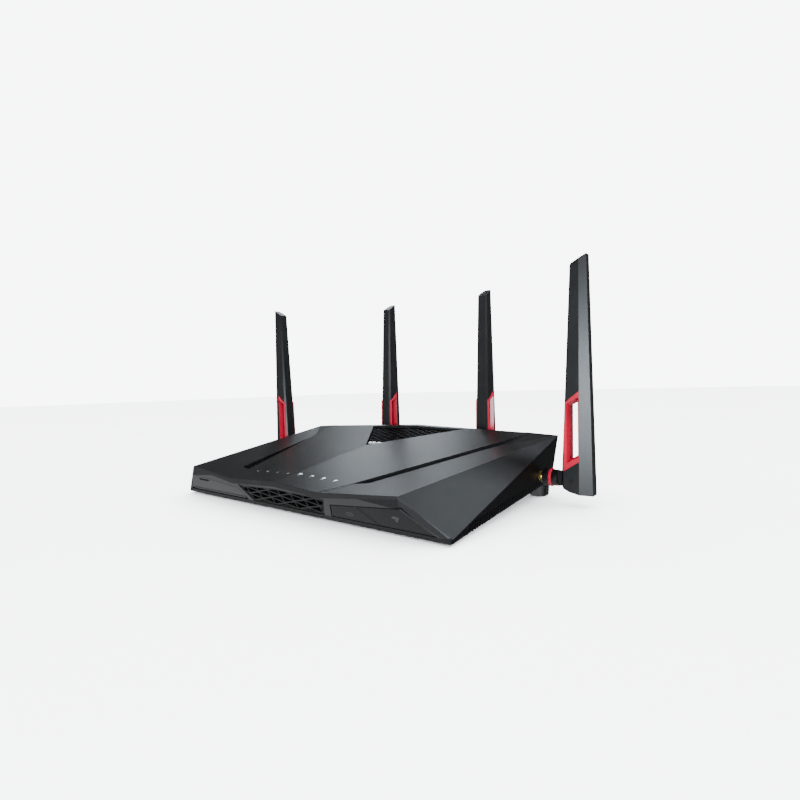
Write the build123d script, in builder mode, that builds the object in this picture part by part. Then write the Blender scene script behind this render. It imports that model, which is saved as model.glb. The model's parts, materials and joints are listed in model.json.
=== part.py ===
from build123d import *
from math import sqrt
import os

# Wireless router: faceted case on four feet, a USB door and two keys in the undercut front,
# sockets at the back, and four blade antennas that swivel and tilt. Millimetres, +Z up.
# The case is drawn with its front rim at y = 0 and written with the whole object's box centred.

# ---- driving dimensions -------------------------------------------------------------------
WALL = 2.2                              # case wall
BEZEL = 3.2                             # thickness of the undercut front panel
DEPTH = 189.0                           # front rim to back wall
SILL = 5.6                              # top of the light strip under the front panel
GAP = 0.35                              # round keys and door

RIDGE_FRONT = Vector(0, 2.7, 27.8)      # front end of the ridge along the hood
RIDGE_BACK = Vector(0, 107.5, 44.4)     # where the ridge meets the mesh
RIM_BEND = Vector(51.6, 0.8, 25.6)      # rim corner over the grille's end
SHOULDER = Vector(120.2, 4.7, 30.1)     # top of the cut front corner
TIP = Vector(150.5, 19.2, 4.8)          # lowest point of the cut front corner
BACK_CORNER = Vector(150.8, 189.7, 51.9)
SIDE_FOOT = Vector(144.5, 180.0, 12.5)  # lower edge of the leaning side wall
HOOD_EDGE = [(63.5, 24.4), (127.0, DEPTH)]
HOOD_BACK = Vector(127.0, 188.0, 52.9)  # back end of the hood's edge
TWIST_START = Vector(109.0, 142.0, 44.3)    # where the wing starts to rise to the hood's edge

MESH_HALF, MESH_BACK = 57.6, 183.4      # triangular top mesh, apex at RIDGE_BACK
GROOVE = [(63.5, 24.4), (76.0, 27.5), (120.5, 167.0), (118.6, 167.0)]

UNDERCUT_RUN, UNDERCUT_SLOPE = 18.375, 0.625
SLANT = sqrt(1 + UNDERCUT_SLOPE**2)     # distance up the front panel per mm of height
BELLY_FRONT, BELLY_RISE = 1.8, 0.0645   # underside height at y = 17, and its rise to the back
SIDE_LEAN = 0.042                       # how far the side wall draws in per mm of depth
PARTING_RISE = (BACK_CORNER.Z - TIP.Z) / (BACK_CORNER.Y - TIP.Y)
SPAN, SKY = 160.0, 70.0                 # beyond the case's side and above its top

BOARD_Z, BOARD_T = 17.0, 1.6
BOARD_TOP = BOARD_Z + BOARD_T
SCREW_SPOTS = [(-112, 62), (112, 62), (-127, 146), (127, 146)]
STANDOFF_SPOTS = [(-75, 60), (75, 60), (-75, 160), (75, 160)]

AXIS_Z = 21.0                           # height of the antenna connectors
SIDE_ANTENNA_X, SIDE_ANTENNA_Y = 167.4, 157.5
REAR_ANTENNA_X, REAR_ANTENNA_Y = 63.5, DEPTH + 20.8
PIVOT = 8.0                             # hinge axis, outward from the blade's inner face
BLADE_OUT = 23.2                        # depth of the blade at its foot
CONNECTOR_R = 3.1
FLANGE_FROM = -19.4                     # inner face of the connector's nut
PIN_R = 1.5
BLADE_FOOT_OUT = 23.41                  # depth of the blade at its lowest corner
SHIFT = -(RIM_BEND.Y + REAR_ANTENNA_Y + BLADE_FOOT_OUT) / 2


# ---- planes and shared shapes ---------------------------------------------------------------
def plane_of(a, b, c):
    """Plane through three points that run anticlockwise as seen from outside the case."""
    return Plane(origin=a, z_dir=(b - a).cross(c - a))


HOOD = plane_of(RIDGE_FRONT, Vector(51.6, 0.8, 25.74), RIDGE_BACK)
WING = plane_of(RIM_BEND, SHOULDER, BACK_CORNER)
FACET = plane_of(SHOULDER, TIP, BACK_CORNER)
SIDE = plane_of(TIP, SIDE_FOOT, BACK_CORNER)
TWIST = plane_of(TWIST_START, BACK_CORNER, HOOD_BACK)
FRONT = Plane(origin=(0, UNDERCUT_RUN, 0), x_dir=(1, 0, 0), z_dir=(0, -1, -UNDERCUT_SLOPE))
BELLY = Plane(origin=(0, 17, BELLY_FRONT), x_dir=(1, 0, 0), z_dir=(0, BELLY_RISE, -1))
PARTING = Plane(
    origin=(0, TIP.Y, TIP.Z),
    x_dir=(1, 0, 0),
    z_dir=(0, TIP.Z - BACK_CORNER.Z, BACK_CORNER.Y - TIP.Y),
)


def belly_z(y):
    """Height of the underside at a depth y."""
    return BELLY_FRONT + BELLY_RISE * (y - 17)


def hood_z(x, y):
    """Height of the hood's skin."""
    return RIDGE_FRONT.Z + 0.1585 * (y - RIDGE_FRONT.Y) - 0.034 * abs(x)


def on_front(points):
    """Points given as x and height, turned to the front panel's own coordinates."""
    return [(x, z * SLANT) for x, z in points]


def mirrored(points):
    """Plan or front points on the other side of the middle."""
    return [(-x, y) for x, y in points]


def prism(points, low, high):
    """Upright prism over a plan outline."""
    with BuildPart() as block:
        with BuildSketch(Plane.XY.offset(low)):
            Polygon(*points, align=None)
        extrude(amount=high - low)
    return block.part


def box_between(low, high):
    """Box between two corners."""
    return prism([(low[0], low[1]), (high[0], low[1]), (high[0], high[1]), (low[0], high[1])], low[2], high[2])


def front_slab(depth, lift):
    """Space in front of the undercut face and under the rim's step, drawn in by depth."""
    with BuildPart() as slab:
        with BuildSketch(Plane.XZ.offset(-60)):
            Polygon((0, -5), (SPAN, -5), (SPAN, 31.8 + lift), (51.7, 21.6 + lift), (0, 23.8 + lift), align=None)
        extrude(amount=80)
        split(bisect_by=FRONT.offset(-depth), keep=Keep.TOP)
        mirror(about=Plane.YZ)
    return slab.part


def case_solid(inset):
    """The case as a full solid, with every outer face drawn in by inset."""
    back = DEPTH - inset
    outline = [(0, RIDGE_FRONT.Y + inset), (RIM_BEND.X, RIM_BEND.Y + inset), (SHOULDER.X, SHOULDER.Y + inset)]
    outline += [(TIP.X, TIP.Y - 2 + inset), (TIP.X + 2, back), (0, back)]
    hood_outline = outline[:2] + [(x - inset, min(y, back)) for x, y in HOOD_EDGE] + [(0, back)]
    with BuildPart() as hood_block:
        add(prism(hood_outline, 0, SKY))
        split(bisect_by=HOOD.offset(-inset), keep=Keep.BOTTOM)
    with BuildPart() as wing_block:
        add(prism(outline, 0, SKY))
        split(bisect_by=WING.offset(-inset), keep=Keep.BOTTOM)
    with BuildPart() as twist_block:
        add(prism([(TWIST_START.X, TWIST_START.Y), (TIP.X + 2, back), (HOOD_BACK.X - 6, back)], 0, SKY))
        split(bisect_by=TWIST.offset(-inset), keep=Keep.BOTTOM)
    with BuildPart() as solid:
        add(wing_block.part)
        add(twist_block.part)
        add(hood_block.part)
        for plane in (FACET, SIDE, BELLY):
            split(bisect_by=plane.offset(-inset), keep=Keep.BOTTOM)
        mirror(about=Plane.YZ)
        add(front_slab(inset, inset), mode=Mode.SUBTRACT)
    return solid.part


CASE = case_solid(0)
CAVITY = case_solid(WALL)
with BuildPart() as front_zone:
    add(front_slab(BEZEL, 0))
    add(CASE, mode=Mode.INTERSECT)

os.makedirs("parts", exist_ok=True)


def save(piece, label):
    """Name a finished piece, move it to the row's origin and write it."""
    placed = piece.part.moved(Location((0, SHIFT, 0)))
    placed.label = label
    export_step(placed, f"parts/{label}.step")


# ---- antenna placing -------------------------------------------------------------------------
ANTENNAS = {
    "side_left": ((-SIDE_ANTENNA_X, SIDE_ANTENNA_Y, AXIS_Z), (-1, 0, 0)),
    "rear_left": ((-REAR_ANTENNA_X, REAR_ANTENNA_Y, AXIS_Z), (0, 1, 0)),
    "rear_right": ((REAR_ANTENNA_X, REAR_ANTENNA_Y, AXIS_Z), (0, 1, 0)),
    "side_right": ((SIDE_ANTENNA_X, SIDE_ANTENNA_Y, AXIS_Z), (1, 0, 0)),
}


def side_view(site):
    """Plane with x outward from the blade's inner face and y up from the connector axis."""
    origin, outward = site
    return Plane(origin=origin, x_dir=outward, z_dir=Vector(*outward).cross(Vector(0, 0, 1)))


def plan_view(site, height):
    """Horizontal plane at a height above the table, with x outward."""
    origin, outward = site
    return Plane(origin=(origin[0], origin[1], height), x_dir=outward, z_dir=(0, 0, 1))


def axis_view(site, outward_by):
    """Plane square to the connector axis, at a distance outward from the blade's inner face."""
    origin, outward = site
    start = Vector(*origin) + Vector(*outward) * outward_by
    return Plane(origin=start, x_dir=(0, 0, 1), z_dir=outward)


# ---- case --------------------------------------------------------------------------------------
MESH_HOLE = [(0, RIDGE_BACK.Y), (MESH_HALF, MESH_BACK), (-MESH_HALF, MESH_BACK)]
PIPE_SPOTS = [(side * x, 22.0) for side in (-1, 1) for x in (6.4, 20.1, 33.0, 46.1)]
PIPE_R = 0.8

with BuildPart() as bosses:
    with BuildSketch():
        with Locations(*SCREW_SPOTS):
            Circle(3.6)
    extrude(amount=60)
    add(CAVITY, mode=Mode.INTERSECT)

with BuildPart() as top_cover:
    add(CASE)
    add(CAVITY, mode=Mode.SUBTRACT)
    split(bisect_by=PARTING, keep=Keep.TOP)
    add(front_zone.part, mode=Mode.SUBTRACT)
    add(bosses.part)
    for outline in (MESH_HOLE, GROOVE, mirrored(GROOVE)):
        add(prism(outline, 22, SKY), mode=Mode.SUBTRACT)
    with BuildSketch(Plane.XY.offset(22)):
        with Locations(*PIPE_SPOTS):
            Circle(PIPE_R)
    extrude(amount=20, mode=Mode.SUBTRACT)
    with BuildSketch():
        with Locations(*SCREW_SPOTS):
            Circle(1.25)
    extrude(amount=belly_z(150) + WALL + 8, mode=Mode.SUBTRACT)
save(top_cover, "top_cover")

VENT_PITCH, VENT_W, VENT_H = 3.4, 1.6, 7.8
VENT_DEPTH, VENT_TOP_GAP = 2.8, 1.0     # how far in the slots start, and how far under the parting line they end
VENT_ROWS = [40 + VENT_PITCH * i for i in range(38)]
WINDOW = [(-132, 16.0), (132, 16.0), (132, 44.0), (-132, 44.0)]


def vent_slots(y):
    """Open slots through the lower edge of both side walls."""
    side_x = TIP.X - SIDE_LEAN * (y - TIP.Y) - VENT_DEPTH
    low = belly_z(y) - 1
    high = min(low + VENT_H, TIP.Z + PARTING_RISE * (y - TIP.Y) - VENT_TOP_GAP)
    for side in (-1, 1):
        near, far = sorted((side * side_x, side * SPAN))
        add(box_between((near, y - VENT_W / 2, low), (far, y + VENT_W / 2, high)))


with BuildPart() as floor_posts:
    with BuildSketch():
        with Locations(*STANDOFF_SPOTS):
            Circle(2.8)
    extrude(amount=BOARD_Z)
    add(box_between((-92.2, 21, 0), (-77.3, 35, 7.5)))
    for x in (70, 112):
        add(box_between((x, 20.5, 0), (x + 3, 24, 11.5)))
    add(CAVITY, mode=Mode.INTERSECT)

with BuildPart() as vent_cutter:
    for y in VENT_ROWS:
        vent_slots(y)

with BuildPart() as sill:
    add(front_zone.part)
    split(bisect_by=Plane.XY.offset(SILL), keep=Keep.BOTTOM)

with BuildPart() as bottom_case:
    add(CASE)
    add(CAVITY, mode=Mode.SUBTRACT)
    split(bisect_by=PARTING, keep=Keep.BOTTOM)
    add(front_zone.part, mode=Mode.SUBTRACT)
    add(sill.part)
    add(floor_posts.part)
    with BuildSketch(Plane.XZ.offset(-DEPTH - 1)):
        Polygon(*WINDOW, align=None)
    extrude(amount=WALL + 2, mode=Mode.SUBTRACT)
    for name in ("side_left", "side_right"):
        with BuildSketch(axis_view(ANTENNAS[name], -24.1)):
            Circle(5.4)
        extrude(amount=4.7)
    add(vent_cutter.part, mode=Mode.SUBTRACT)
    for name in ("side_left", "side_right"):
        with BuildSketch(axis_view(ANTENNAS[name], -28)):
            Circle(CONNECTOR_R)
        extrude(amount=12, mode=Mode.SUBTRACT)
    for x, y in SCREW_SPOTS:
        with BuildSketch(Plane.XY.offset(-1)):
            with Locations((x, y)):
                Circle(3.0)
        extrude(amount=1 + belly_z(y) + 1.2, mode=Mode.SUBTRACT)
    with BuildSketch(Plane.XY.offset(-1)):
        with Locations(*SCREW_SPOTS):
            Circle(1.3)
    extrude(amount=14, mode=Mode.SUBTRACT)
save(bottom_case, "bottom_case")

# ---- front panel, grille, door and keys ------------------------------------------------------
GRILLE = [(-51.8, 19.6), (-41.5, 4.0), (41.5, 4.0), (51.8, 19.6), (0, 21.5)]
KEY_BOTTOM = SILL + 0.25
DOOR = [(55.8, 15.9), (121.6, 22.5), (141.4, KEY_BOTTOM), (50.6, KEY_BOTTOM)]
LEFT_KEY = [(55.8, 15.9), (80.4, 18.36), (95.9, KEY_BOTTOM), (50.6, KEY_BOTTOM)]
RIGHT_KEY = [(81.6, 18.48), (121.6, 22.5), (141.4, KEY_BOTTOM), (97.1, KEY_BOTTOM)]
DOOR_T, KEY_T = 2.4, 2.0                # thickness of the door's leaf and of the keys
STEM_END = 4.0                          # depth of a key's stem behind the front panel
STEM_UP = 14.0                          # stems and switches, measured up the front panel
KNUCKLE_R = 1.6
HINGE_UP = KEY_BOTTOM * SLANT + KNUCKLE_R   # door hinge, measured up the front panel
HINGE = FRONT.location * Location((0, HINGE_UP, -KNUCKLE_R))
HINGE_START = 145.0                     # the hinge plane's distance left of the middle
HINGE_PLANE = Plane(origin=(-HINGE_START, HINGE.position.Y, HINGE.position.Z), x_dir=(0, 1, 0), z_dir=(1, 0, 0))
DOOR_PIN_R, DOOR_PIN_FROM, DOOR_PIN_TO = 0.8, -144.5, -47.5
KNUCKLE_FROM, KNUCKLE_TO = -136.2, -53.2
KNUCKLE_SPAN = 100.0                    # clearance bored along the whole hinge

with BuildPart() as front_bezel:
    add(front_zone.part)
    split(bisect_by=Plane.XY.offset(SILL), keep=Keep.TOP)
    with BuildSketch(FRONT.offset(2)):
        Polygon(*on_front(GRILLE), align=None)
        for outline in (DOOR, mirrored(DOOR)[::-1]):
            Polygon(*on_front(outline), align=None)
        offset(amount=GAP, kind=Kind.INTERSECTION, mode=Mode.REPLACE)
    extrude(amount=-12, mode=Mode.SUBTRACT)
    with BuildSketch(HINGE_PLANE):
        Circle(DOOR_PIN_R)
    extrude(amount=HINGE_START + DOOR_PIN_TO, mode=Mode.SUBTRACT)
save(front_bezel, "front_bezel")

with BuildPart() as front_grille:
    with BuildSketch(FRONT.offset(-0.5)):
        rows = [7.6 + 3.3 * row for row in range(5)]
        for row, height in enumerate(rows):
            sway = 1.3 if row % 2 else -1.3
            zigzag = [(x, height + (sway if i % 2 else -sway)) for i, x in enumerate(range(-56, 57, 14))]
            with BuildLine():
                Polyline(*on_front(zigzag))
            trace(line_width=1.2)
        for x in range(-42, 43, 14):
            with BuildLine():
                Line(*on_front([(x, 5.0), (x, 22.4)]))
            trace(line_width=1.0)
        frame_outline = [(-51.8, 19.6), (-42.5, SILL), (42.5, SILL), (51.8, 19.6), (0, 21.5)]
        Polygon(*on_front(frame_outline), align=None, mode=Mode.INTERSECT)
        border = Polygon(*on_front(frame_outline), align=None, mode=Mode.PRIVATE)
        add(border - offset(border, amount=-1.3, kind=Kind.INTERSECTION, mode=Mode.PRIVATE))
    extrude(amount=-(BEZEL - 0.5))
save(front_grille, "front_grille")

with BuildPart() as usb_door:
    with BuildSketch(FRONT):
        Polygon(*on_front(mirrored(DOOR)[::-1]), align=None)
    extrude(amount=-DOOR_T)
    with BuildSketch(HINGE_PLANE):
        Circle(KNUCKLE_R + 0.9)
    extrude(amount=KNUCKLE_SPAN, mode=Mode.SUBTRACT)
    with BuildSketch(HINGE_PLANE.offset(HINGE_START + KNUCKLE_FROM)):
        Circle(KNUCKLE_R)
        with Locations((-0.78, 1.25)):
            Rectangle(DOOR_T - 0.8, 3.4, rotation=32)
    extrude(amount=KNUCKLE_TO - KNUCKLE_FROM)
    with BuildSketch(HINGE_PLANE):
        Circle(DOOR_PIN_R + 0.06)
    extrude(amount=KNUCKLE_SPAN, mode=Mode.SUBTRACT)
    with BuildSketch(FRONT):
        with Locations((-106, 18.6 * SLANT)):
            SlotOverall(16, 2.4)
    extrude(amount=-0.9, mode=Mode.SUBTRACT)
save(usb_door, "usb_door")

with BuildPart() as door_pin:
    with BuildSketch(HINGE_PLANE.offset(HINGE_START + DOOR_PIN_FROM)):
        Circle(DOOR_PIN_R)
    extrude(amount=DOOR_PIN_TO - DOOR_PIN_FROM)
save(door_pin, "door_pin")


def front_key(outline, stem_x):
    """Key flush with the front panel, with a bevelled edge and a stem to its switch."""
    with BuildPart() as key:
        with BuildSketch(FRONT):
            Polygon(*on_front(outline), align=None)
        extrude(amount=-KEY_T)
        chamfer(key.faces().filter_by(FRONT).sort_by(Axis.Y)[0].edges(), length=0.5)
        with BuildSketch(FRONT.offset(-KEY_T)):
            with Locations((stem_x, STEM_UP)):
                Circle(2)
        extrude(amount=KEY_T - STEM_END)
    return key


STEMS = (73.0, 112.0)
KEY_BOARD_IN, SWITCH_H = 9.0, 2.6       # depth of the key board's face, and height of the switch bodies
for label, outline, stem_x in zip(("wps_button", "wifi_button"), (LEFT_KEY, RIGHT_KEY), STEMS):
    save(front_key(outline, stem_x), label)

with BuildPart() as key_board:
    with BuildSketch(FRONT.offset(-KEY_BOARD_IN)):
        with Locations((93, STEM_UP)):
            Rectangle(52, 12)
    extrude(amount=-1.6)
save(key_board, "key_board")

with BuildPart() as key_switches:
    with BuildSketch(FRONT.offset(-KEY_BOARD_IN)):
        with Locations(*[(x, STEM_UP) for x in STEMS]):
            Rectangle(6, 6)
    extrude(amount=SWITCH_H)
    with BuildSketch(FRONT.offset(SWITCH_H - KEY_BOARD_IN)):
        with Locations(*[(x, STEM_UP) for x in STEMS]):
            Circle(1.7)
    extrude(amount=1.3)
save(key_switches, "key_switches")

# ---- top mesh, badge, groove vents and light pipes ----------------------------------------------
MESH_PITCH, MESH_T = 6.4, 1.3
MESH_MIDDLE = (RIDGE_BACK.Y + MESH_BACK) / 2

with BuildPart() as mesh_cutter:
    with BuildSketch(Plane.XY.offset(20)):
        with Locations((0, MESH_MIDDLE)):
            with HexLocations(MESH_PITCH / 2, 19, 13):
                RegularPolygon(2.7, 6)
    extrude(amount=50)

with BuildPart() as top_mesh:
    add(prism([(0, 104.2), (60.8, 185.2), (0, 185.2)], 0, SKY))
    split(bisect_by=HOOD.offset(-WALL), keep=Keep.BOTTOM)
    split(bisect_by=HOOD.offset(-WALL - MESH_T), keep=Keep.TOP)
    mirror(about=Plane.YZ)
    add(mesh_cutter.part, mode=Mode.SUBTRACT)
save(top_mesh, "top_mesh")

BADGE_T = 0.9
with BuildPart() as badge:
    with BuildSketch():
        for x in (2.4, 7.0):
            Polygon((x - 1.7, 120), (x + 1.1, 120), (x + 2.7, 124), (x - 0.1, 124), align=None)
    extrude(amount=SKY)
    split(bisect_by=HOOD.offset(-WALL + BADGE_T), keep=Keep.BOTTOM)
    split(bisect_by=HOOD.offset(-WALL), keep=Keep.TOP)
    mirror(about=Plane.YZ)
save(badge, "badge")

# louvred plate under the groove between the hood and each wing
with BuildPart() as right_groove_vent:
    with BuildSketch():
        Polygon(*GROOVE, align=None)
        offset(amount=1.4, kind=Kind.INTERSECTION)
    extrude(amount=SKY)
    split(bisect_by=WING.offset(-WALL), keep=Keep.BOTTOM)
    split(bisect_by=WING.offset(-WALL - 1.3), keep=Keep.TOP)
    with BuildSketch():
        for step in range(11):
            with Locations((71.5 + 2.05 * step, 32 + 5.6 * step)):
                Rectangle(8.4 - 0.5 * step, 2.0, rotation=14)
    extrude(amount=SKY, mode=Mode.SUBTRACT)
with BuildPart() as left_groove_vent:
    mirror(right_groove_vent.part, about=Plane.YZ)
save(left_groove_vent, "left_groove_vent")
save(right_groove_vent, "right_groove_vent")

with BuildPart() as light_pipes:
    for x, y in PIPE_SPOTS:
        with BuildSketch(Plane.XY.offset(hood_z(x, y) - 4)):
            with Locations((x, y)):
                Circle(PIPE_R)
        extrude(amount=4.1)
save(light_pipes, "light_pipes")

# ---- inside -----------------------------------------------------------------------------------
with BuildPart() as main_board:
    with BuildSketch(Plane.XY.offset(BOARD_Z)):
        with Locations((0, 111.5)):
            Rectangle(256, 133)
        with Locations(*SCREW_SPOTS):
            Circle(4.4, mode=Mode.SUBTRACT)
    extrude(amount=BOARD_T)
save(main_board, "main_board")

CHIP_H = 2.0
with BuildPart() as chips:
    with BuildSketch(Plane.XY.offset(BOARD_TOP)):
        with Locations((0, 100)):
            Rectangle(22, 22)
        with Locations((-30, 60), (-15, 60)):
            Rectangle(9, 13)
        with Locations((45, 140)):
            Rectangle(14, 14)
    extrude(amount=CHIP_H)
save(chips, "chips")

with BuildPart() as heat_sink:
    with BuildSketch(Plane.XY.offset(BOARD_TOP + CHIP_H)):
        with Locations((0, 100)):
            Rectangle(60, 50)
    extrude(amount=3)
    with BuildSketch(Plane.XY.offset(BOARD_TOP + CHIP_H + 3)):
        with Locations((0, 100)):
            with GridLocations(7.2, 1, 9, 1):
                Rectangle(1.4, 50)
    extrude(amount=9)
save(heat_sink, "heat_sink")

with BuildPart() as rf_shields:
    for x, y in ((-72, 105), (72, 105)):
        with BuildSketch(Plane.XY.offset(BOARD_TOP)):
            with Locations((x, y)):
                Rectangle(42, 34)
        extrude(amount=3.5)
    fillet(rf_shields.edges().filter_by(Axis.Z), radius=1.5)
save(rf_shields, "rf_shields")

# ---- back panel and sockets ---------------------------------------------------------------------
JACK_PITCH, JACK_H, JACK_DEPTH = 16.0, 13.5, 21.0
LAN_SPOTS = [-10 + JACK_PITCH * i for i in range(4)]
WAN_X, USB_X, DC_X, POWER_X, RESET_X = -38.0, -86.0, 84.0, 104.0, -104.0
PORT_BACK = DEPTH + 0.6
KEY_Z = 24.0
POWER_W, POWER_H, RESET_R = 11.0, 8.0, 1.4
DC_W, DC_H = 12.0, 11.0
USB_W, USB_H = 14.5, 7.0


def back_sketch(y):
    """Upright plane facing backwards at a depth y, with x to the right and y up."""
    return Plane(origin=(0, y, 0), x_dir=(-1, 0, 0), z_dir=(0, 1, 0))


def jack_block(spots):
    """Ganged network jacks with a stepped mouth for the plug's latch."""
    middle = sum(spots) / len(spots)
    width = JACK_PITCH * len(spots) - 0.4
    with BuildPart() as jacks:
        add(box_between((middle - width / 2, PORT_BACK - JACK_DEPTH, BOARD_TOP),
                        (middle + width / 2, PORT_BACK, BOARD_TOP + JACK_H)))
        for x in spots:
            with BuildSketch(back_sketch(PORT_BACK)):
                with Locations((-x, BOARD_TOP + 7.6)):
                    Rectangle(11.8, 8.4)
                with Locations((-x, BOARD_TOP + 2.8)):
                    Rectangle(6.2, 1.6)
            extrude(amount=-14, mode=Mode.SUBTRACT)
            with BuildSketch(back_sketch(PORT_BACK - 6)):
                with GridLocations(1.02, 1, 8, 1):
                    with Locations((-x, BOARD_TOP + 11.5)):
                        Rectangle(0.45, 0.9)
            extrude(amount=-6)
    return jacks


def usb_socket(x, z, mouth_y, facing):
    """Socket with a tongue, mouth at mouth_y, facing -1 for the front and 1 for the back."""
    inner = mouth_y - facing * 14
    with BuildPart() as socket:
        add(box_between((x - USB_W / 2, min(mouth_y, inner), z), (x + USB_W / 2, max(mouth_y, inner), z + USB_H)))
        with BuildSketch(Plane(origin=(x, mouth_y, z + USB_H / 2), x_dir=(1, 0, 0), z_dir=(0, facing, 0))):
            Rectangle(12.6, 5.2)
            with Locations((0, facing * 1.1)):
                Rectangle(11.2, 1.8, mode=Mode.SUBTRACT)
        extrude(amount=-11, mode=Mode.SUBTRACT)
    return socket


save(jack_block(LAN_SPOTS), "lan_ports")
save(jack_block([WAN_X]), "wan_port")
save(usb_socket(USB_X, BOARD_TOP, PORT_BACK, 1), "usb_port_rear")
save(usb_socket(-84.75, 7.5, 21.0, -1), "usb_port_front")

with BuildPart() as dc_jack:
    add(box_between((DC_X - DC_W / 2, DEPTH - 13, BOARD_TOP), (DC_X + DC_W / 2, PORT_BACK, BOARD_TOP + DC_H)))
    with BuildSketch(back_sketch(PORT_BACK)):
        with Locations((-DC_X, BOARD_TOP + DC_H / 2)):
            Circle(3.1)
            Circle(1.2, mode=Mode.SUBTRACT)
    extrude(amount=-10, mode=Mode.SUBTRACT)
save(dc_jack, "dc_jack")

LAN_MIDDLE = sum(LAN_SPOTS) / len(LAN_SPOTS)
with BuildPart() as rear_panel:
    add(box_between((-132, DEPTH - WALL, 16), (132, DEPTH, 44)))
    for name in ("rear_left", "rear_right"):
        with BuildSketch(axis_view(ANTENNAS[name], -20.8)):
            Circle(5.4)
        extrude(amount=20.8 + FLANGE_FROM)
    with BuildSketch(back_sketch(DEPTH + 2)):
        with Locations((-LAN_MIDDLE, BOARD_TOP + JACK_H / 2)):
            Rectangle(4 * JACK_PITCH, JACK_H + 0.4)
        with Locations((-WAN_X, BOARD_TOP + JACK_H / 2)):
            Rectangle(JACK_PITCH, JACK_H + 0.4)
        with Locations((-USB_X, BOARD_TOP + USB_H / 2)):
            Rectangle(USB_W + 0.4, USB_H + 0.4)
        with Locations((-DC_X, BOARD_TOP + DC_H / 2)):
            Rectangle(DC_W + 0.4, DC_H + 0.4)
        with Locations((-POWER_X, KEY_Z)):
            Rectangle(POWER_W + 2 * GAP, POWER_H + 2 * GAP)
        with Locations((-RESET_X, KEY_Z)):
            Circle(RESET_R + GAP)
        with Locations((-REAR_ANTENNA_X, AXIS_Z), (REAR_ANTENNA_X, AXIS_Z)):
            Circle(CONNECTOR_R)
    extrude(amount=-8, mode=Mode.SUBTRACT)
save(rear_panel, "rear_panel")

with BuildPart() as power_button:
    add(box_between((POWER_X - POWER_W / 2, DEPTH - 5, KEY_Z - POWER_H / 2),
                    (POWER_X + POWER_W / 2, DEPTH + 2.4, KEY_Z + POWER_H / 2)))
    fillet(power_button.faces().sort_by(Axis.Y)[-1].edges(), radius=0.8)
save(power_button, "power_button")

with BuildPart() as reset_button:
    with BuildSketch(back_sketch(DEPTH - 6)):
        with Locations((-RESET_X, KEY_Z)):
            Circle(RESET_R)
    extrude(amount=5.4)
save(reset_button, "reset_button")

with BuildPart() as rear_switches:
    for x, back in ((POWER_X, DEPTH - 7.2), (RESET_X, DEPTH - 7.0)):
        add(box_between((x - 5, DEPTH - 16, BOARD_TOP), (x + 5, back, KEY_Z + 4)))
save(rear_switches, "rear_switches")

# ---- feet and screws ------------------------------------------------------------------------------
with BuildPart() as front_feet:
    with BuildSketch():
        with Locations((-118, 38), (118, 38)):
            Circle(8)
    extrude(amount=20)
    split(bisect_by=BELLY, keep=Keep.TOP)
save(front_feet, "front_feet")

with BuildPart() as rear_feet:
    for side in (-1, 1):
        with BuildSketch():
            with Locations((side * 136.5, 180)):
                RectangleRounded(14, 15.5, 5)
        extrude(amount=20, taper=-4)
    split(bisect_by=BELLY, keep=Keep.TOP)
    fillet(rear_feet.faces().sort_by(Axis.Z)[:2].edges(), radius=1.5)
save(rear_feet, "rear_feet")

with BuildPart() as case_screws:
    for x, y in SCREW_SPOTS:
        head = belly_z(y) + 1.2
        with BuildSketch(Plane.XY.offset(head - 1.4)):
            with Locations((x, y)):
                Circle(2.7)
                RegularPolygon(1.2, 6, mode=Mode.SUBTRACT)
        extrude(amount=1.4)
        with BuildSketch(Plane.XY.offset(head - 0.4)):
            with Locations((x, y)):
                Circle(1.25)
        extrude(amount=8.5)
save(case_screws, "case_screws")

with BuildPart() as sma_connectors:
    for site in ANTENNAS.values():
        for start, length, radius in ((-27, 13.6, CONNECTOR_R), (FLANGE_FROM, 1.4, 4.6)):
            with BuildSketch(axis_view(site, start)):
                if radius > CONNECTOR_R:
                    RegularPolygon(radius, 6)
                else:
                    Circle(radius)
            extrude(amount=length)
save(sma_connectors, "sma_connectors")

# ---- antennas ---------------------------------------------------------------------------------------
COLLAR_R, NECK_R, RING_R = 6.9, 6.5, 7.2
TONGUE_R, TONGUE_HALF = 6.7, 3.0
BLADE_LOW, BLADE_HIGH = 8.0, 197.0
WINDOW_FRAME = [(14.5, 90.3), (3.7, 81.6), (1.6, 27.6), (14.0, 35.8)]
WINDOW_SLOT = [(12.6, 83.0), (6.6, 79.6), (6.0, 37.0), (12.2, 40.6)]
PADDLE = (12.5, 18.5)                   # inner circuit's near and far sides, outward
PADDLE_LOW, PADDLE_HIGH, PADDLE_T = 96.0, 180.0, 0.8


def blade_section(height):
    """Blade outline at a height, tapering from its foot to its tip."""
    t = (height - 25) / 165
    near, ridge, far = 8.3 * t, 14 + 1.5 * t, BLADE_OUT - 2.3 * t
    points = [(near, 5.5 - 2 * t), (near + 2 - t, 7.5 - 2.5 * t), (ridge, 7.5 - 2.5 * t), (far, 4.5 - 1.2 * t)]
    return points + [(a, -across) for a, across in reversed(points)]


def up(points):
    """Side-view points given with heights above the table, turned to heights above the connector axis."""
    return [(a, z - AXIS_Z) for a, z in points]


def side_prism(site, points, half_width):
    """Solid over a side-view outline, equally thick to both sides of the connector axis."""
    with BuildPart() as block:
        with BuildSketch(side_view(site)):
            Polygon(*up(points), align=None)
        extrude(amount=half_width, both=True)
    return block.part


def round_bar(site, radius, start, end):
    """Bar along the connector axis between two distances from the blade's inner face."""
    with BuildPart() as bar:
        with BuildSketch(axis_view(site, start)):
            Circle(radius)
        extrude(amount=end - start)
    return bar.part


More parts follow.
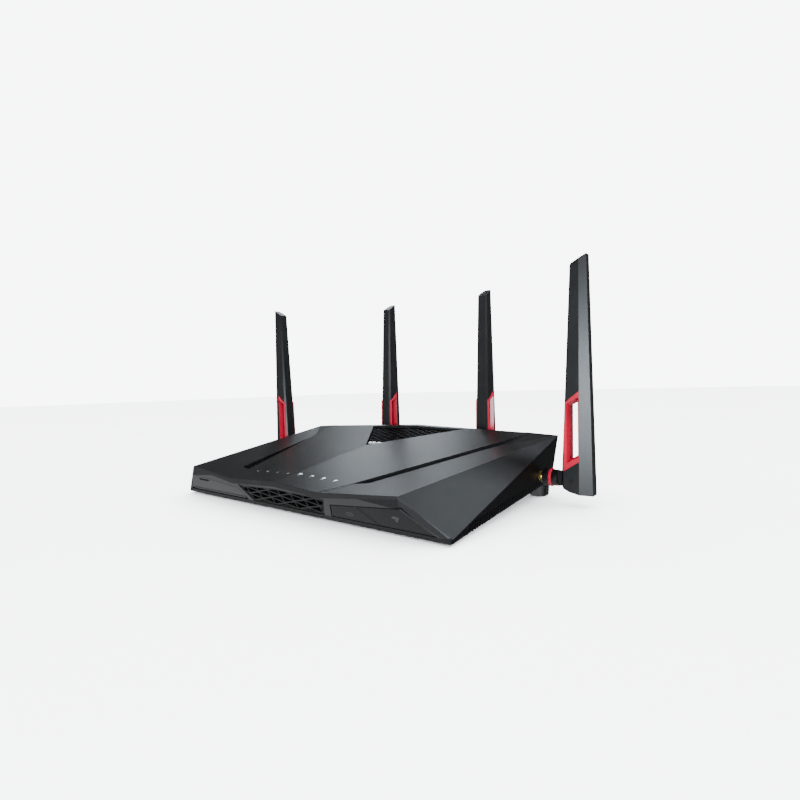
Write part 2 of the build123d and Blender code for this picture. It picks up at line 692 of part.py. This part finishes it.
for name, site in ANTENNAS.items():
    with BuildPart() as collar:
        add(round_bar(site, COLLAR_R, -16.4, -11.4))
        chamfer(collar.edges(), length=0.5)
        with BuildSketch(axis_view(site, -16.4)):
            with PolarLocations(COLLAR_R, 18):
                Circle(0.45)
        extrude(amount=5, mode=Mode.SUBTRACT)
        add(round_bar(site, CONNECTOR_R + 0.06, -17, -13.0), mode=Mode.SUBTRACT)
    save(collar, f"{name}_collar")

    with BuildPart() as ring:
        add(round_bar(site, RING_R, -11.4, -8.9))
        fillet(ring.edges(), radius=0.6)
    save(ring, f"{name}_ring")

    with BuildPart() as neck:
        add(round_bar(site, NECK_R, -8.9, -4.3))
        with BuildSketch(side_view(site)):
            with Locations((PIVOT, 0)):
                Circle(TONGUE_R)
            with Locations(((PIVOT - 4.3) / 2, 0)):
                Rectangle(PIVOT + 4.3, 2 * 5.6)
        extrude(amount=TONGUE_HALF, both=True)
        with BuildSketch(side_view(site)):
            with Locations((PIVOT, 0)):
                Circle(PIN_R + 0.06)
        extrude(amount=TONGUE_HALF, both=True, mode=Mode.SUBTRACT)
    save(neck, f"{name}_neck")

    with BuildPart() as blade:
        for height in (BLADE_LOW, BLADE_HIGH):
            with BuildSketch(plan_view(site, height)):
                Polygon(*blade_section(height), align=None)
        loft(ruled=True)
        tip_cut = [(-5, 180.3), (30, 199.7), (30, 210), (-5, 210)]
        foot_cut = [(-5, 0), (30, 0), (30, 9.6), (14, 10.2), (6, 12.0), (1.6, 14.4), (-0.8, 18.5), (-5, 20)]
        for outline in (tip_cut, foot_cut):
            add(side_prism(site, outline, 20), mode=Mode.SUBTRACT)
        add(side_prism(site, WINDOW_FRAME, 20), mode=Mode.SUBTRACT)
        with BuildSketch(side_view(site)):
            with Locations((PIVOT, 0)):
                Circle(TONGUE_R + 0.35)
            Polygon((-8, TONGUE_R + 0.35), (PIVOT, TONGUE_R + 0.35), (PIVOT, -20), (-8, -20), align=None)
            Polygon((PIVOT, 0), (PIVOT + TONGUE_R + 0.35, 0), (PIVOT + TONGUE_R + 0.35, -20), (PIVOT, -20),
                    align=None)
        extrude(amount=TONGUE_HALF + 0.3, both=True, mode=Mode.SUBTRACT)
        with BuildSketch(side_view(site)):
            with Locations((PIVOT, 0)):
                Circle(PIN_R)
        extrude(amount=20, both=True, mode=Mode.SUBTRACT)
        paddle_outline = [(PADDLE[0], PADDLE_LOW), (PADDLE[1], PADDLE_LOW), (PADDLE[1], PADDLE_HIGH),
                          (PADDLE[0], PADDLE_HIGH)]
        add(side_prism(site, paddle_outline, PADDLE_T / 2), mode=Mode.SUBTRACT)
    save(blade, f"{name}_blade")

    with BuildPart() as window_frame:
        add(side_prism(site, WINDOW_FRAME, 7.3))
        add(side_prism(site, WINDOW_SLOT, 8), mode=Mode.SUBTRACT)
        for side in (-1, 1):
            flank = side_view(site)
            flank = Plane(origin=flank.origin, x_dir=flank.x_dir, z_dir=flank.z_dir * side).offset(3.6)
            with BuildSketch(flank):
                Polygon(*[(a, side * z) for a, z in up(WINDOW_SLOT)], align=None)
            extrude(amount=4.2, taper=-24, mode=Mode.SUBTRACT)
    save(window_frame, f"{name}_window_frame")

    with BuildPart() as hinge_pin:
        with BuildSketch(side_view(site)):
            with Locations((PIVOT, 0)):
                Circle(PIN_R)
        extrude(amount=7.2, both=True)
    save(hinge_pin, f"{name}_hinge_pin")

    with BuildPart() as radiator:
        add(side_prism(site, paddle_outline, PADDLE_T / 2))
    save(radiator, f"{name}_radiator")
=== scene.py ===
import json
import math

import bmesh
import bpy
from mathutils import Matrix, Vector


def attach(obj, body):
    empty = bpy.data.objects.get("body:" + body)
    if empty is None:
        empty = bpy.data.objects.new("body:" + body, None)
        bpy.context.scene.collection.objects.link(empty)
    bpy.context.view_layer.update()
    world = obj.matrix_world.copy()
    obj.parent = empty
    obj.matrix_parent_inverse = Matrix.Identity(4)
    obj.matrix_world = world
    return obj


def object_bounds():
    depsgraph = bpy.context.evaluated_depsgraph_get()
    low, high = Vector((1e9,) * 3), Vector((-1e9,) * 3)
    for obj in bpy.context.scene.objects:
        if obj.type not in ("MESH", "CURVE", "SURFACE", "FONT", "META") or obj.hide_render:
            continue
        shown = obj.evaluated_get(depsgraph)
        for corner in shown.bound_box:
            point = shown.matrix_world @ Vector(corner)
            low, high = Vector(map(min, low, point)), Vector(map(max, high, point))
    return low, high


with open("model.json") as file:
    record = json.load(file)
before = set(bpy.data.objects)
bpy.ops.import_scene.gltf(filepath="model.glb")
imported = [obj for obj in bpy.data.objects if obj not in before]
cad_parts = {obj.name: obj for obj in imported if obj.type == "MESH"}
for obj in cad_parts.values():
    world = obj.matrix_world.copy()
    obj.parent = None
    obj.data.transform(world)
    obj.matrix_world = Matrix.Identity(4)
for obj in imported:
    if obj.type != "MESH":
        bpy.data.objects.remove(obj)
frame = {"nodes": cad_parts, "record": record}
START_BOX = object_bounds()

MM = 0.001
NODES = frame["nodes"]
BODIES = frame["record"]["behaviour"]["bodies"]
BODY_OF = {node: body for body, members in BODIES.items() for node in members}


# ---- materials -------------------------------------------------------------------------------
def node_tree(name):
    """New material with its tree, its shader and object coordinates."""
    material = bpy.data.materials.new(name)
    material.use_nodes = True
    tree = material.node_tree
    shader = tree.nodes["Principled BSDF"]
    place = tree.nodes.new("ShaderNodeTexCoord").outputs["Object"]
    return material, tree, shader, place


def noise(tree, place, scale, detail=4.0, rough=0.55, stretch=(1, 1, 1)):
    """Noise over object coordinates; scale is per metre."""
    mapping = tree.nodes.new("ShaderNodeMapping")
    mapping.inputs["Scale"].default_value = stretch
    tree.links.new(place, mapping.inputs["Vector"])
    texture = tree.nodes.new("ShaderNodeTexNoise")
    texture.inputs["Scale"].default_value = scale
    texture.inputs["Detail"].default_value = detail
    texture.inputs["Roughness"].default_value = rough
    tree.links.new(mapping.outputs["Vector"], texture.inputs["Vector"])
    return texture.outputs["Fac"]


def spread(tree, value, low, high, near=0.3, far=0.7):
    """Value mapped from near..far to low..high, held at both ends."""
    span = tree.nodes.new("ShaderNodeMapRange")
    for socket, number in zip(("From Min", "From Max", "To Min", "To Max"), (near, far, low, high)):
        span.inputs[socket].default_value = number
    tree.links.new(value, span.inputs["Value"])
    return span.outputs["Result"]


def two_tone(tree, value, dark, light):
    """Colour that runs from dark to light with a noise value."""
    ramp = tree.nodes.new("ShaderNodeValToRGB")
    ramp.color_ramp.elements[0].position = 0.3
    ramp.color_ramp.elements[1].position = 0.7
    ramp.color_ramp.elements[0].color = (*dark, 1)
    ramp.color_ramp.elements[1].color = (*light, 1)
    tree.links.new(value, ramp.inputs["Fac"])
    return ramp.outputs["Color"]


def bump(tree, shader, height, strength, depth):
    """Fine relief from a height value; depth is in metres."""
    bumps = tree.nodes.new("ShaderNodeBump")
    bumps.inputs["Strength"].default_value = strength
    bumps.inputs["Distance"].default_value = depth
    tree.links.new(height, bumps.inputs["Height"])
    tree.links.new(bumps.outputs["Normal"], shader.inputs["Normal"])


GRAIN_DEPTH, TRACE_DEPTH = 0.00004, 0.00003      # metres
COAT_ROUGHNESS = 0.12
TRACE_SCALE = 260                               # circuit board pattern, per metre


def moulded(name, dark, light, rough=(0.36, 0.46), grain=2600, strength=0.22, coat=0.0, metal=0.0,
            specular=0.5, stretch=(1, 1, 1), mottle=45):
    """Moulded or plated surface: slow colour change, fine grain in roughness and height."""
    material, tree, shader, place = node_tree(name)
    slow = noise(tree, place, mottle, detail=3)
    fine = noise(tree, place, grain, detail=2, stretch=stretch)
    tree.links.new(two_tone(tree, slow, dark, light), shader.inputs["Base Color"])
    tree.links.new(spread(tree, fine, *rough), shader.inputs["Roughness"])
    bump(tree, shader, fine, strength, GRAIN_DEPTH)
    shader.inputs["Metallic"].default_value = metal
    shader.inputs["Coat Weight"].default_value = coat
    shader.inputs["Coat Roughness"].default_value = COAT_ROUGHNESS
    shader.inputs["Specular IOR Level"].default_value = specular
    return material


def board_material():
    """Solder mask with faint traces."""
    material, tree, shader, place = node_tree("circuit_board")
    traces = tree.nodes.new("ShaderNodeTexBrick")
    traces.inputs["Scale"].default_value = TRACE_SCALE
    traces.inputs["Color1"].default_value = (0.002, 0.012, 0.006, 1)
    traces.inputs["Color2"].default_value = (0.003, 0.017, 0.008, 1)
    traces.inputs["Mortar"].default_value = (0.006, 0.032, 0.016, 1)
    tree.links.new(place, traces.inputs["Vector"])
    tree.links.new(traces.outputs["Color"], shader.inputs["Base Color"])
    tree.links.new(spread(tree, noise(tree, place, 900), 0.28, 0.42), shader.inputs["Roughness"])
    bump(tree, shader, traces.outputs["Fac"], 0.2, TRACE_DEPTH)
    return material


def glow_material():
    """Dull grey light pipe with a faint glow."""
    material = moulded("light_pipe", (0.09, 0.094, 0.1), (0.12, 0.125, 0.13),
                       rough=(0.25, 0.35), strength=0.05)
    shader = material.node_tree.nodes["Principled BSDF"]
    shader.inputs["Emission Color"].default_value = (0.9, 0.95, 1, 1)
    shader.inputs["Emission Strength"].default_value = 0.05
    return material


# Base colours are low, because the studio's fill is bright.
DARK_SHEEN = 0.3                        # specular level of the dark plastics

MATERIALS = {
    "case_plastic": moulded("case_plastic", (0.0026, 0.0029, 0.0032), (0.0038, 0.0042, 0.0046),
                            rough=(0.36, 0.44), grain=3200, strength=0.25, specular=DARK_SHEEN),
    "base_plastic": moulded("base_plastic", (0.0008, 0.0009, 0.001), (0.0013, 0.0014, 0.0016),
                            rough=(0.42, 0.52), specular=0.15),
    "bezel_plastic": moulded("bezel_plastic", (0.0012, 0.0014, 0.0016), (0.0018, 0.002, 0.0022),
                             rough=(0.26, 0.34), strength=0.1, specular=DARK_SHEEN),
    "grille_plastic": moulded("grille_plastic", (0.0012, 0.0014, 0.0016), (0.002, 0.0022, 0.0024),
                              rough=(0.3, 0.42), strength=0.12, specular=0.12),
    "mesh_plastic": moulded("mesh_plastic", (0.0006, 0.0006, 0.0007), (0.0012, 0.0012, 0.0014),
                            rough=(0.5, 0.6), strength=0.1, specular=0.03),
    "badge_metal": moulded("badge_metal", (0.3, 0.31, 0.32), (0.38, 0.39, 0.4), rough=(0.16, 0.26),
                           grain=5000, strength=0.1, metal=0.15, stretch=(1, 12, 1)),
    "light_pipe": glow_material(),
    "circuit_board": board_material(),
    "chip_black": moulded("chip_black", (0.002, 0.002, 0.0022), (0.004, 0.004, 0.0044), rough=(0.5, 0.62)),
    "sink_aluminium": moulded("sink_aluminium", (0.5, 0.51, 0.53), (0.62, 0.63, 0.65), rough=(0.28, 0.4),
                              metal=1.0, stretch=(1, 14, 1)),
    "steel": moulded("steel", (0.45, 0.45, 0.46), (0.6, 0.6, 0.61), rough=(0.2, 0.34), metal=1.0),
    "socket_plastic": moulded("socket_plastic", (0.11, 0.066, 0.003), (0.14, 0.085, 0.004),
                              rough=(0.28, 0.36)),
    "wan_plastic": moulded("wan_plastic", (0.003, 0.017, 0.085), (0.005, 0.024, 0.11), rough=(0.28, 0.36)),
    "usb_socket": moulded("usb_socket", (0.12, 0.125, 0.13), (0.17, 0.175, 0.18), rough=(0.2, 0.3),
                          metal=0.9),
    "brass": moulded("brass", (0.78, 0.5, 0.16), (0.92, 0.64, 0.26), rough=(0.14, 0.24), metal=1.0,
                     grain=3000, strength=0.12),
    "rubber": moulded("rubber", (0.0012, 0.0012, 0.0012), (0.0022, 0.0022, 0.0022), rough=(0.2, 0.3),
                      strength=0.1, coat=0.25),
    "door_plastic": moulded("door_plastic", (0.0035, 0.0038, 0.0041), (0.0048, 0.0051, 0.0055),
                            rough=(0.32, 0.42), specular=0.45),
    "key_plastic": moulded("key_plastic", (0.0012, 0.0014, 0.0016), (0.0018, 0.002, 0.0022),
                           rough=(0.3, 0.4), strength=0.14, specular=0.12),
    "collar_plastic": moulded("collar_plastic", (0.001, 0.001, 0.0012), (0.0018, 0.0018, 0.002),
                              rough=(0.32, 0.44), specular=DARK_SHEEN),
    "red_plastic": moulded("red_plastic", (0.14, 0.0002, 0.0075), (0.18, 0.0003, 0.0095), rough=(0.2, 0.3),
                           strength=0.08, mottle=30, specular=DARK_SHEEN),
    "antenna_plastic": moulded("antenna_plastic", (0.0026, 0.0029, 0.0032), (0.0038, 0.0042, 0.0046),
                               rough=(0.3, 0.38), grain=3000, strength=0.16, stretch=(1, 1, 0.4),
                               specular=DARK_SHEEN),
}

# width of the rounded edges in millimetres, by material
WELD_REACH, BEVEL_ANGLE = 0.000002, 14          # metres, degrees
SOFT_EDGES = {"case_plastic": 0.55, "base_plastic": 0.4, "bezel_plastic": 0.25, "door_plastic": 0.35,
              "red_plastic": 0.35, "collar_plastic": 0.25, "key_plastic": 0.25}


def soften(node, width):
    """Rounds a CAD node's moulded edges with modifiers, so that they catch the light."""
    weld = node.modifiers.new("weld", "WELD")
    weld.merge_threshold = WELD_REACH
    bevel = node.modifiers.new("moulded_edge", "BEVEL")
    bevel.width = width * MM
    bevel.segments = 3
    bevel.limit_method = "ANGLE"
    bevel.angle_limit = math.radians(BEVEL_ANGLE)
    bevel.use_clamp_overlap = True
    bevel.harden_normals = False


for part in frame["record"]["subparts"]:
    target = NODES[part["node"]]
    for material_slot in target.material_slots:
        material_slot.material = MATERIALS[part["material_slot"]]
    if part["material_slot"] in SOFT_EDGES:
        soften(target, SOFT_EDGES[part["material_slot"]])


# ---- helpers that read places from the frame -----------------------------------------------------
def face_frame(node, toward):
    """Centre and normal of a node's largest flat side that faces toward."""
    mesh = NODES[node].data
    groups = {}
    for polygon in mesh.polygons:
        if polygon.normal.dot(Vector(toward).normalized()) > 0.6:
            key = tuple(round(value, 2) for value in polygon.normal)
            groups.setdefault(key, []).append(polygon)
    side = max(groups.values(), key=lambda group: sum(polygon.area for polygon in group))
    area = sum(polygon.area for polygon in side)
    centre = sum((polygon.center * polygon.area for polygon in side), Vector()) / area
    return centre, side[0].normal.copy()


def lumps(node, gap=2.0):
    """Boxes of a node's separate pieces along X."""
    points = sorted((vertex.co.copy() for vertex in NODES[node].data.vertices), key=lambda point: point.x)
    groups = [[points[0]]]
    for point in points[1:]:
        if point.x - groups[-1][-1].x > gap * MM:
            groups.append([])
        groups[-1].append(point)
    return [(Vector(map(min, zip(*group))), Vector(map(max, zip(*group)))) for group in groups]


def upright(origin, normal, right=(1, 0, 0)):
    """Matrix with Z along a normal and X as near as can be to right."""
    z = Vector(normal).normalized()
    x = (Vector(right) - z * Vector(right).dot(z)).normalized()
    return Matrix.Translation(origin) @ Matrix((x, z.cross(x), z)).transposed().to_4x4()


def piece(name, mesh_maker, body, material):
    """Mesh piece made by a function that fills a bmesh, riding on a body."""
    mesh = bpy.data.meshes.new(name)
    shape = bmesh.new()
    mesh_maker(shape)
    bmesh.ops.recalc_face_normals(shape, faces=shape.faces)
    shape.to_mesh(mesh)
    shape.free()
    thing = bpy.data.objects.new(name, mesh)
    bpy.context.scene.collection.objects.link(thing)
    thing.data.materials.append(MATERIALS[material])
    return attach(thing, body)


def arc_strip(shape, matrix, centre, radius, width, start, end, height, steps=14):
    """Raised strip along an arc."""
    rows = []
    for step in range(steps + 1):
        angle = math.radians(start + (end - start) * step / steps)
        ring = []
        for reach, lift in ((radius, 0), (radius, height), (radius + width, height), (radius + width, 0)):
            x, y = centre[0] + reach * math.cos(angle), centre[1] + reach * math.sin(angle)
            ring.append(shape.verts.new(matrix @ (Vector((x, y, lift)) * MM)))
        rows.append(ring)
    for near, far in zip(rows, rows[1:]):
        for i in range(4):
            j = (i + 1) % 4
            shape.faces.new((near[i], near[j], far[j], far[i]))
    shape.faces.new(rows[0])
    shape.faces.new(reversed(rows[-1]))


def bar(shape, matrix, outline, height):
    """Raised plate over an outline."""
    base = [shape.verts.new(matrix @ (Vector((x, y, 0)) * MM)) for x, y in outline]
    top = [shape.verts.new(matrix @ (Vector((x, y, height)) * MM)) for x, y in outline]
    shape.faces.new(base[::-1])
    shape.faces.new(top)
    for i in range(len(outline)):
        j = (i + 1) % len(outline)
        shape.faces.new((base[i], base[j], top[j], top[i]))


# ---- printed marks, all generic -------------------------------------------------------------------
MARK_H = 0.05                           # millimetres
HOOD_FALL, HOOD_RISE = 0.034, 0.1585    # the hood's slope to each side, and to the back
MATERIALS["mark_white"] = moulded("mark_white", (0.5, 0.51, 0.53), (0.62, 0.63, 0.65),
                                  rough=(0.4, 0.5), strength=0.05)
# mark_grey: faint grey print on the front keys, and painted shade for the hood marks on the shaded left side
MATERIALS["mark_grey"] = moulded("mark_grey", (0.016, 0.0165, 0.0175), (0.024, 0.025, 0.026),
                                 rough=(0.4, 0.5), strength=0.05)


def mark_icon(kind):
    """One of four small printed shapes beside a light pipe."""
    def make(shape, matrix):
        if kind == 0:
            bar(shape, matrix, [(-1.7, 1.6), (1.7, 1.6), (1.7, 2.1), (-1.7, 2.1)], MARK_H)
            bar(shape, matrix, [(-1.7, 2.5), (1.7, 2.5), (1.7, 3.0), (-1.7, 3.0)], MARK_H)
        elif kind == 1:
            for radius in (0.9, 1.7):
                arc_strip(shape, matrix, (0, 1.2), radius, 0.4, 40, 140, MARK_H)
        elif kind == 2:
            arc_strip(shape, matrix, (0, 2.4), 0.8, 0.45, 0, 360, MARK_H, steps=18)
        else:
            bar(shape, matrix, [(-1.6, 1.6), (0, 1.6), (1.6, 2.9), (0, 2.9)], MARK_H)
    return make


def icon_row():
    """Small marks behind the light pipes, on the hood's skin; those on the shaded left are dark grey as
    painted shade, those on the lit right white.
    """
    for index, (low, high) in enumerate(lumps("light_pipes")):
        middle = (low + high) / 2
        side = 1 if middle.x > 0 else -1
        spot = Vector((middle.x, middle.y, high.z - 0.1 * MM))
        matrix = upright(spot, (side * HOOD_FALL, -HOOD_RISE, 1))
        maker = mark_icon(index % 4)
        # painted shade: the same printed icon is white on the lit right of the hood and dark grey on its
        # shaded left
        tone = "mark_white" if side > 0 else "mark_grey"
        piece(f"status_mark_{index + 1}", lambda shape: maker(shape, matrix), "root", tone)


def key_mark(node, name, draw):
    """Faint mark on the face of a front key."""
    centre, normal = face_frame(node, (0, -1, -0.6))
    matrix = upright(centre, normal)
    piece(name, lambda shape: draw(shape, matrix), BODY_OF[node], "mark_grey")


def wave_glyph(shape, matrix):
    """Three arcs over a dot."""
    for radius in (1.4, 2.7, 4.0):
        arc_strip(shape, matrix, (3, -1.4), radius, 0.55, 45, 135, MARK_H)
    arc_strip(shape, matrix, (3, -1.2), 0.05, 0.55, 0, 359, MARK_H)


def link_glyph(shape, matrix):
    """Two open rings that face each other."""
    arc_strip(shape, matrix, (-1.2, 0), 1.1, 0.4, 40, 320, MARK_H)
    arc_strip(shape, matrix, (1.6, 0), 1.1, 0.4, -140, 140, MARK_H)


icon_row()
key_mark("wifi_button", "wave_mark", wave_glyph)
key_mark("wps_button", "link_mark", link_glyph)


# ---- stage, lights and camera ----------------------------------------------------------------------
FLOOR_HALF = 6.0                        # metres


def stage_floor():
    """Pale flat floor under the part."""
    mesh = bpy.data.meshes.new("floor")
    corners = [(x * FLOOR_HALF, y * FLOOR_HALF, 0) for x, y in ((-1, -1), (1, -1), (1, 1), (-1, 1))]
    mesh.from_pydata(corners, [], [(0, 1, 2, 3)])
    floor = bpy.data.objects.new("floor", mesh)
    bpy.context.scene.collection.objects.link(floor)
    material, tree, shader, place = node_tree("floor")
    tree.links.new(two_tone(tree, noise(tree, place, 3), (0.9, 0.9, 0.9), (0.93, 0.93, 0.93)),
                   shader.inputs["Base Color"])
    shader.inputs["Roughness"].default_value = 0.75
    floor.data.materials.append(material)
    floor.visible_glossy = False            # keeps its glare out of the dark plastics


LIGHT_TINT = (0.84, 0.92, 1)


def soft_light(name, spot, target, size, power):
    """Rectangular soft light that looks at a point, hidden from direct view."""
    lamp = bpy.data.lights.new(name, "AREA")
    lamp.shape = "RECTANGLE"
    lamp.size, lamp.size_y = size
    lamp.energy = power
    lamp.color = LIGHT_TINT
    holder = bpy.data.objects.new(name, lamp)
    holder.location = spot
    holder.rotation_euler = (Vector(target) - Vector(spot)).to_track_quat("-Z", "Y").to_euler()
    holder.visible_camera = False
    bpy.context.scene.collection.objects.link(holder)


BACKDROP, FLOOR_FILL = 8.0, 7.5         # world strength for camera rays and for scattered light
SURROUND, LOW_GLOW = 0.15, 1.5          # in mirrored rays: all around, and low down in front
GLOW_WAY, GLOW_SPAN = (0.0, -0.5, -0.85), (0.1, 0.75)  # its direction, and where along it it starts and ends
WORLD_TINT = (0.96, 0.98, 1, 1)
LIGHTS = (                              # name, place, target and size in metres, power in watts
    ("back_panel", (-0.84, 0.94, 0.76), (0.02, -0.05, 0.04), (0.5, 0.3), 3.6),
    ("front_strip", (0.5, -0.9, 0.06), (0.18, 0.04, 0.05), (0.12, 0.3), 15),
    ("side_panel", (0.57, 0.44, 0.75), (0.15, -0.1, 0.02), (0.26, 0.26), 2.2),
)


def studio():
    """White backdrop, an even fill for scattered light, a dim surround for reflections, and soft lights."""
    world = bpy.data.worlds.new("studio")
    world.use_nodes = True
    tree = world.node_tree
    rays = tree.nodes.new("ShaderNodeLightPath")
    shades = []
    for strength in (SURROUND, FLOOR_FILL, BACKDROP):
        shade = tree.nodes.new("ShaderNodeBackground")
        shade.inputs["Color"].default_value = WORLD_TINT
        shade.inputs["Strength"].default_value = strength
        shades.append(shade.outputs["Background"])
    ways = tree.nodes.new("ShaderNodeTexCoord")
    along = tree.nodes.new("ShaderNodeVectorMath")
    along.operation = "DOT_PRODUCT"
    along.inputs[1].default_value = GLOW_WAY
    tree.links.new(ways.outputs["Generated"], along.inputs[0])
    tree.links.new(spread(tree, along.outputs["Value"], SURROUND, LOW_GLOW, *GLOW_SPAN),
                   shades[0].node.inputs["Strength"])
    for kind, strength in (("Is Diffuse Ray", 1), ("Is Camera Ray", 2)):
        mix = tree.nodes.new("ShaderNodeMixShader")
        tree.links.new(rays.outputs[kind], mix.inputs["Fac"])
        tree.links.new(shades[0], mix.inputs[1])
        tree.links.new(shades[strength], mix.inputs[2])
        shades[0] = mix.outputs["Shader"]
    tree.links.new(shades[0], tree.nodes["World Output"].inputs["Surface"])
    bpy.context.scene.world = world
    for light in LIGHTS:
        soft_light(*light)


CAMERA_SPOT = Vector((311.78, -230.5, 97.35))       # from the centre of the front rim, millimetres
CAMERA_RIGHT = Vector((0.781, 0.6239, -0.0277))
CAMERA_UP = Vector((0.005, 0.0381, 0.9993))
CAMERA_BACK = Vector((0.6244, -0.7806, 0.0266))
LENS, SENSOR, CLIP_START = 22.32, 36, 0.01          # millimetres, millimetres, metres


def camera():
    """Low three-quarter view from the front right."""
    view = bpy.data.cameras.new("view")
    view.lens = LENS
    view.sensor_width = SENSOR
    view.clip_start = CLIP_START
    holder = bpy.data.objects.new("view", view)
    front = START_BOX[0].y
    place = Matrix((CAMERA_RIGHT, CAMERA_UP, CAMERA_BACK)).transposed().to_4x4()
    place.translation = CAMERA_SPOT * MM + Vector((0, front, 0))
    holder.matrix_world = place
    bpy.context.scene.collection.objects.link(holder)
    bpy.context.scene.camera = holder


stage_floor()
studio()
camera()
